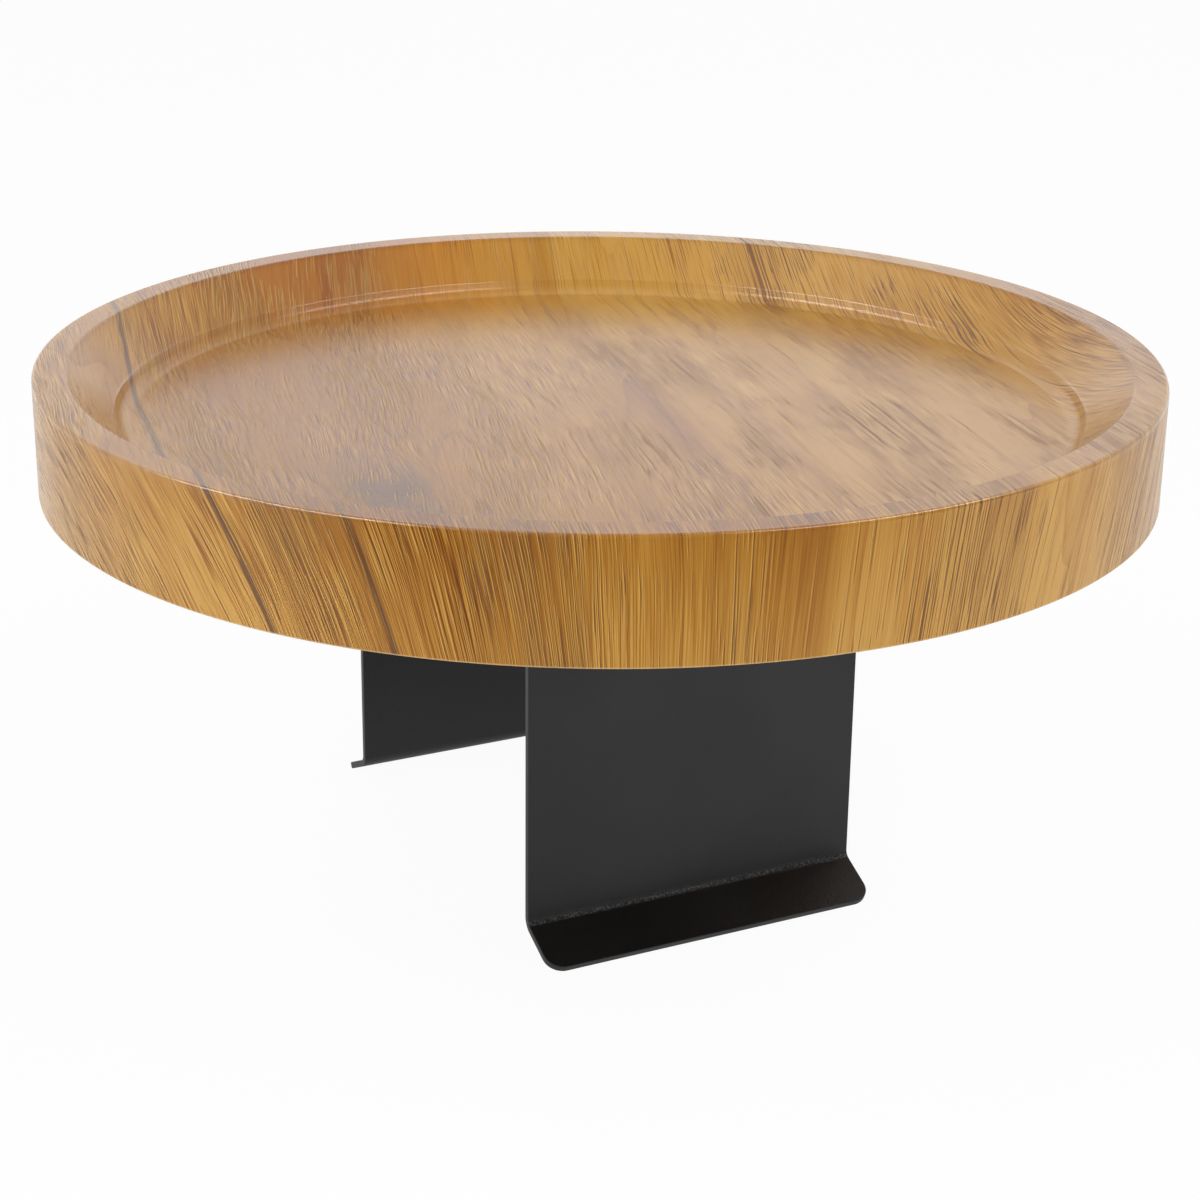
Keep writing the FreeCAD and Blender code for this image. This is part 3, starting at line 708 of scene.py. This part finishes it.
for side in (-1, 1):
    slot_place = (side * BOLT_PITCH / 2, bolt_y - SLOT_TRAVEL, underside)
    bpy.ops.object.select_all(action="DESELECT")
    bpy.ops.mesh.primitive_cylinder_add(vertices=SLOT_SIDES, radius=SLOT_RADIUS, depth=SLOT_CUT_DEPTH,
                                        location=slot_place, rotation=(0, 0, math.pi / SLOT_SIDES))
    cutter = name_new("slot_cutter")
    bpy.ops.object.transform_apply(location=True, rotation=True, scale=False)
    bpy.ops.object.mode_set(mode="EDIT")
    pick(cutter, lambda co: co.y > slot_place[1], "VERT")
    bpy.ops.transform.translate(value=(0, SLOT_TRAVEL, 0))
    bpy.ops.object.mode_set(mode="OBJECT")
    bpy.context.view_layer.objects.active = rear_bracket
    apply_modifier(rear_bracket, "BOOLEAN", object=cutter, operation="DIFFERENCE", solver="EXACT")
    bpy.data.objects.remove(cutter)
apply_modifier(rear_bracket, "BEVEL", width=EDGE_ROUND, segments=EDGE_STEPS,
               limit_method="ANGLE", angle_limit=EDGE_ANGLE)
bpy.ops.object.select_all(action="DESELECT")
rear_bracket.select_set(True)
smooth_faces(rear_bracket)

coat, tree, shader = new_material("powder_coat")
place = add_node(tree, "ShaderNodeTexCoord").outputs["Object"]
grains = stretched_noise(tree, place, **COAT_GRAIN_NOISE)
drift = stretched_noise(tree, place, **COAT_DRIFT_NOISE)
split = add_node(tree, "ShaderNodeSeparateXYZ", {"Vector": place})
above = calculate(tree, "SUBTRACT", split.outputs["Z"], heel)
out = calculate(tree, "SUBTRACT", calculate(tree, "ABSOLUTE", split.outputs["Y"]), plate_inner)
# Painted highlight: grey specks in a band along the bend above the foot
sparkle_start = remap(tree, above, *BEND_SPARKLE_LOW)
sparkle_end = remap(tree, above, *BEND_SPARKLE_HIGH, 1, 0)
speckles = remap(tree, stretched_noise(tree, place, **SPECKLE_NOISE), *SPECKLE_ENDS)
painted_sparkle = calculate(tree, "MULTIPLY", calculate(tree, "MULTIPLY", sparkle_start, sparkle_end), speckles)
painted_sparkle = calculate(tree, "MULTIPLY", painted_sparkle, remap(tree, out, *BEND_SPARKLE_OUT))
black = mix_colours(tree, drift, COAT_BLACK, COAT_GREY)
tree.links.new(mix_colours(tree, painted_sparkle, black, SPARKLE_GREY), shader.inputs["Base Color"])
tree.links.new(remap(tree, drift, *COAT_DRIFT_ENDS, *COAT_ROUGHNESS), shader.inputs["Roughness"])
tree.links.new(bump(tree, grains, COAT_GRAIN_HEIGHT), shader.inputs["Normal"])
shader.inputs["Specular IOR Level"].default_value = COAT_SPECULAR
rear_bracket.data.materials.append(coat)

bpy.ops.object.duplicate()
front_bracket = name_new("front_bracket_plate")
front_bracket.rotation_euler.z = math.pi
bpy.ops.object.transform_apply(location=False, rotation=True, scale=False)
for bracket, body, node in (
    (rear_bracket, "rear_bracket", "bracket_rear"),
    (front_bracket, "front_bracket", "bracket_front"),
):
    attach(bracket, body)
    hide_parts(node)

# Washers and bolts: zinc-plated steel, screwed up through the slots into the inserts.
# A plain washer spans each slot, and a split washer under the domed head keeps the bolt tight.
PLATING_PALE = (0.72, 0.72, 0.74, 1)
PLATING_DULL = (0.5, 0.5, 0.53, 1)
PLATING_CLOUD_NOISE = {"scale": (320, 320, 320), "detail": 4}
PLATING_CLOUD_ENDS = (0.3, 0.7)
PLATING_ROUGHNESS = (0.36, 0.2)

plated, tree, shader = new_material("plated_steel")
place = add_node(tree, "ShaderNodeTexCoord").outputs["Object"]
clouds = stretched_noise(tree, place, **PLATING_CLOUD_NOISE)
tree.links.new(mix_colours(tree, clouds, PLATING_DULL, PLATING_PALE), shader.inputs["Base Color"])
tree.links.new(remap(tree, clouds, *PLATING_CLOUD_ENDS, *PLATING_ROUGHNESS), shader.inputs["Roughness"])
shader.inputs["Metallic"].default_value = 1
for place_name in BOLT_PLACES:
    for node in ("flat_washer", "spring_washer", "clamp_bolt"):
        dress(f"{node}_{place_name}", plated)

# Studio: a white floor that runs on to the horizon, in white surroundings. Two softboxes, a front lamp and
# two low fills light the object, two strips show only as glints in its gloss, and a back panel does both.
# The camera stands where the photograph was taken from, about 0.7 m from the middle of the object.
WHITE = (1, 1, 1, 1)
FLOOR_SIZE = 12
FLOOR_FRONT = 2
FLOOR_WHITE = (0.9, 0.9, 0.9, 1)
FLOOR_SEEN_GLOW = 0.95
FLOOR_MIRRORED_GLOW = 1
FLOOR_MIRRORED_ENDS = (0.33, 0.46)
FLOOR_SHADE = 0.65
FLOOR_SHADE_ENDS = (0.05, 0.22)
SURROUND_LIGHT = 0.29
ROOM_MIRRORED = 0.1
ROOM_MIRRORED_ENDS = (-0.4, 0.3)
LAMP_WHITE = (1, 1, 1)
PANEL_COOL = (0.94, 0.97, 1)
# Each lamp's turn, rise and roll in degrees, its distance, width and height in metres, its watts and colour
LAMPS = (
    ("left_softbox", -113, 51, 0, 1.2, 1.0, 0.3, 4.5, LAMP_WHITE),
    ("right_softbox", 50, 54, 0, 1.2, 1.0, 0.3, 4.7, LAMP_WHITE),
    ("left_glint", -112, 53, 28, 1.2, 0.95, 0.13, 7, LAMP_WHITE),
    ("right_glint", 52, 54, -26, 1.2, 0.95, 0.13, 5.5, LAMP_WHITE),
    ("front_lamp", -30, 17, 0, 1.6, 1.4, 0.45, 10.8, LAMP_WHITE),
    ("left_fill", -100, 10, 0, 2.0, 1.5, 1.0, 10, LAMP_WHITE),
    ("right_fill", 68, 10, 0, 2.0, 1.5, 1.0, 12, LAMP_WHITE),
    ("back_panel", 153, 17, 0, 2.8, 3.0, 1.2, 4.9, PANEL_COOL),
)
CAMERA_TURN = math.radians(-26.76)
CAMERA_RISE = math.radians(20.5)
CAMERA_ROLL = math.radians(0.66)
CAMERA_DISTANCE = 0.72866
CAMERA_TARGET = Vector((0.00058, -0.00006, 0.0712))
CAMERA_LENS = 78.53
SENSOR_WIDTH = 36


def towards(turn, rise):
    """Unit vector at a turn about Z, from the front, and a rise above the horizon."""
    return Vector((math.sin(turn) * math.cos(rise), -math.cos(turn) * math.cos(rise), math.sin(rise)))


def mix_values(tree, factor, first, second):
    """Value that goes from the first to the second as the factor goes from 0 to 1."""
    return add_node(tree, "ShaderNodeMix", {0: factor, 2: first, 3: second}).outputs[0]


def face_middle(side, forward, roll):
    """Turn of a lamp or camera that looks along one of its axes, with a roll about that axis."""
    level = side.to_track_quat(forward, "Y")
    return (level @ Quaternion((0, 0, 1), roll)).to_euler()


bpy.ops.object.select_all(action="DESELECT")
bpy.ops.mesh.primitive_plane_add(size=FLOOR_SIZE, location=(0, FLOOR_SIZE / 2 - FLOOR_FRONT, 0))
floor = name_new("studio_floor")
bpy.ops.object.transform_apply(location=True, rotation=False, scale=False)

# The floor is white to the camera and keeps the object's shadow. In reflections it is shaded under the
# object, and ends in front, where the room is darker
white, tree, shader = new_material("studio_floor")
tree.nodes.remove(shader)
matt = add_node(tree, "ShaderNodeBsdfDiffuse", {"Color": FLOOR_WHITE})
path = add_node(tree, "ShaderNodeLightPath")
spot = add_node(tree, "ShaderNodeTexCoord").outputs["Object"]
to_camera = {0: spot, 1: towards(CAMERA_TURN, 0)}
ahead = add_node(tree, "ShaderNodeVectorMath", to_camera, operation="DOT_PRODUCT").outputs["Value"]
mirrored = remap(tree, ahead, *FLOOR_MIRRORED_ENDS, FLOOR_MIRRORED_GLOW, 0)
away = add_node(tree, "ShaderNodeVectorMath", {0: spot}, operation="LENGTH").outputs["Value"]
shade = remap(tree, away, *FLOOR_SHADE_ENDS, FLOOR_SHADE, 1)
mirrored = calculate(tree, "MULTIPLY", mirrored, shade)
strength = mix_values(tree, path.outputs["Is Glossy Ray"], 1, mirrored)
glow = add_node(tree, "ShaderNodeEmission", {"Color": WHITE, "Strength": strength})
seen = calculate(tree, "MULTIPLY", path.outputs["Is Camera Ray"], FLOOR_SEEN_GLOW)
share = calculate(tree, "MAXIMUM", seen, path.outputs["Is Glossy Ray"])
floor_mix = add_node(tree, "ShaderNodeMixShader", {0: share, 1: matt.outputs[0], 2: glow.outputs[0]})
tree.links.new(floor_mix.outputs[0], tree.nodes["Material Output"].inputs["Surface"])
floor.data.materials.append(white)

world = bpy.data.worlds.new("white_surround")
world.use_nodes = True
bpy.context.scene.world = world
tree = world.node_tree
path = add_node(tree, "ShaderNodeLightPath")
sky = add_node(tree, "ShaderNodeTexCoord").outputs["Generated"]
direction = add_node(tree, "ShaderNodeSeparateXYZ", {"Vector": sky})
backdrop = remap(tree, direction.outputs["Y"], *ROOM_MIRRORED_ENDS, ROOM_MIRRORED, 1)
strength = mix_values(tree, path.outputs["Is Glossy Ray"], SURROUND_LIGHT, backdrop)
shown = calculate(tree, "MAXIMUM", path.outputs["Is Camera Ray"], path.outputs["Is Transmission Ray"])
strength = mix_values(tree, shown, strength, 1)
surround = tree.nodes["Background"]
surround.inputs["Color"].default_value = WHITE
tree.links.new(strength, surround.inputs["Strength"])

for name, turn, rise, roll, distance, width, height, power, colour in LAMPS:
    lamp = bpy.data.lights.new(name, "AREA")
    lamp.shape = "RECTANGLE"
    lamp.size = width
    lamp.size_y = height
    lamp.energy = power
    lamp.color = colour
    stand = bpy.data.objects.new(name, lamp)
    bpy.context.scene.collection.objects.link(stand)
    side = towards(math.radians(turn), math.radians(rise))
    stand.location = side * distance + Vector((0, 0, rim))
    stand.rotation_euler = face_middle(side, "Z", math.radians(roll))
    stand.visible_diffuse = not name.endswith("glint")
    stand.visible_glossy = name.endswith("glint") or name == "back_panel"

camera_data = bpy.data.cameras.new("camera")
camera_data.lens = CAMERA_LENS
camera_data.sensor_width = SENSOR_WIDTH
camera = bpy.data.objects.new("camera", camera_data)
bpy.context.scene.collection.objects.link(camera)
back = towards(CAMERA_TURN, CAMERA_RISE)
camera.location = CAMERA_TARGET + back * CAMERA_DISTANCE
camera.rotation_euler = face_middle(-back, "-Z", CAMERA_ROLL)
bpy.context.scene.camera = camera
bpy.context.scene.view_settings.view_transform = "Standard"
